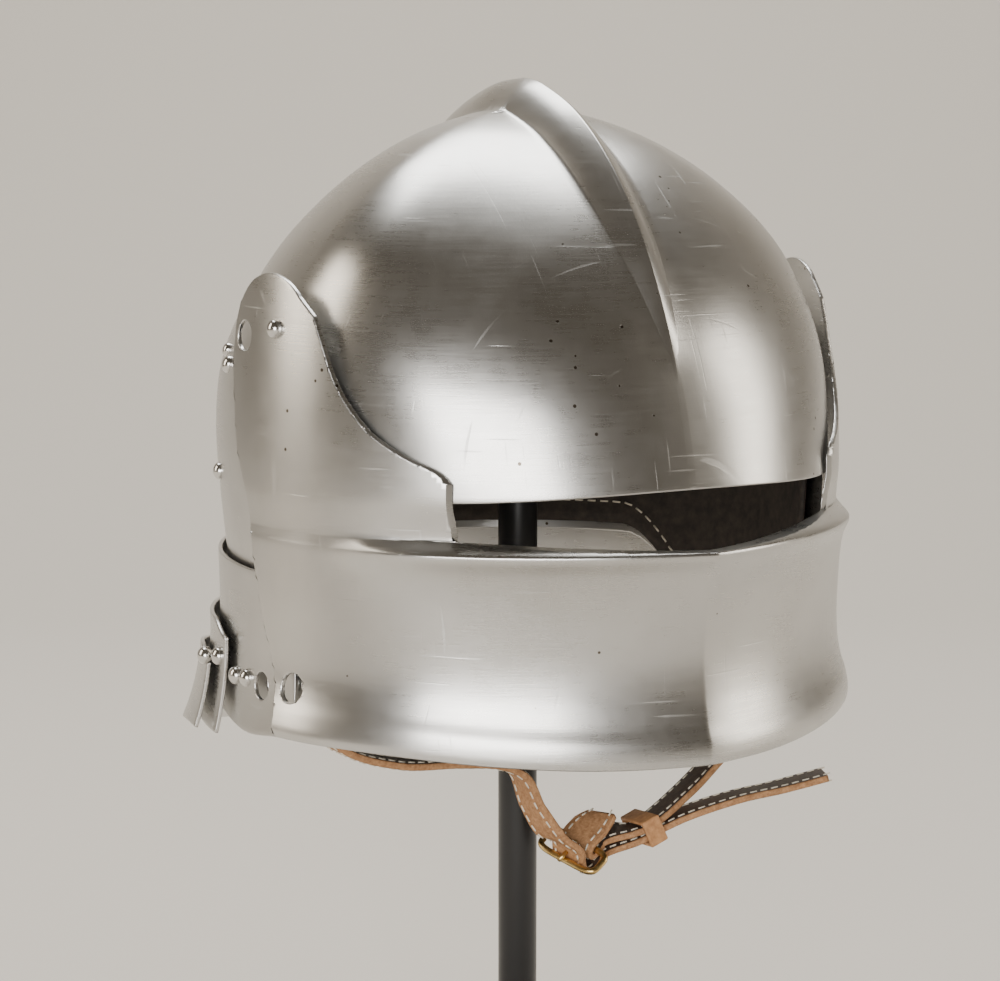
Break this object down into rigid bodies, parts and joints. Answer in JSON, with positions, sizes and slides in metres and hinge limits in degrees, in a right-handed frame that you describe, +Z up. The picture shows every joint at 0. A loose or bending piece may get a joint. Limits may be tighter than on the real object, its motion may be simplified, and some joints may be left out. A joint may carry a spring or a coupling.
{
  "type": "visored sallet helmet on a plain pole stand",
  "caption": "Rounded steel sallet with a medial comb, a pivoting visor with a sight slit, hinged neck plates and a leather chin strap, held on a plain black pole stand.",
  "frame": {"origin": "middle of the underside of the stand's base, on the pole's axis", "axes": "+Z up along the pole, the face looks along -Y, the wearer's left side is at +X"},
  "size_m": [0.2476, 0.284, 0.429],
  "materials": {
    "steel": "satin polished bare steel",
    "rivet": "polished steel",
    "leather": "dark brown leather",
    "keeper": "tan leather",
    "brass": "aged brass",
    "pole": "satin black paint",
    "stand_wood": "black painted wood"
  },
  "bodies": {
    "helmet_and_stand": {"skull": "steel", "tail_lame_1": "steel", "visor_pivot_right": "rivet", "visor_pivot_left": "rivet", "lame_rivet_front_right": "rivet", "lame_rivet_front_left": "rivet", "lame_rivet_rear_right": "rivet", "lame_rivet_rear_left": "rivet", "lame_pivot_2_right": "rivet", "lame_pivot_2_left": "rivet", "arm_rivet_low_right": "rivet", "arm_rivet_low_left": "rivet", "arm_rivet_high_right": "rivet", "arm_rivet_high_left": "rivet", "lining_rivet_side_right": "rivet", "lining_rivet_side_left": "rivet", "lining_rivet_rear_right": "rivet", "lining_rivet_rear_left": "rivet", "catch_pin_right": "rivet", "catch_pin_left": "rivet", "strap_rivet_right": "rivet", "strap_rivet_left": "rivet", "lining": "leather", "strap_right": "leather", "strap_left": "leather", "keeper": "keeper", "buckle": "brass", "buckle_tongue": "brass", "stand_pole": "pole", "stand_base": "stand_wood", "stand_pad": "stand_wood"},
    "visor": {"visor": "steel"},
    "lame_2": {"tail_lame_2": "steel"},
    "lame_3": {"tail_lame_3": "steel", "lame_pivot_3_right": "rivet", "lame_pivot_3_left": "rivet"}
  },
  "joints": [
    {"name": "visor_hinge", "type": "hinge", "parent": "helmet_and_stand", "child": "visor", "pos_m": [0, -0.0284, 0.341], "axis": [-1, 0, 0], "range_deg": [0, 65]},
    {"name": "lame_2_hinge", "type": "hinge", "parent": "helmet_and_stand", "child": "lame_2", "pos_m": [0, 0.0191, 0.217], "axis": [1, 0, 0], "range_deg": [0, 6]},
    {"name": "lame_3_hinge", "type": "hinge", "parent": "lame_2", "child": "lame_3", "pos_m": [0, 0.026, 0.2163], "axis": [1, 0, 0], "range_deg": [0, 6]}
  ]
}
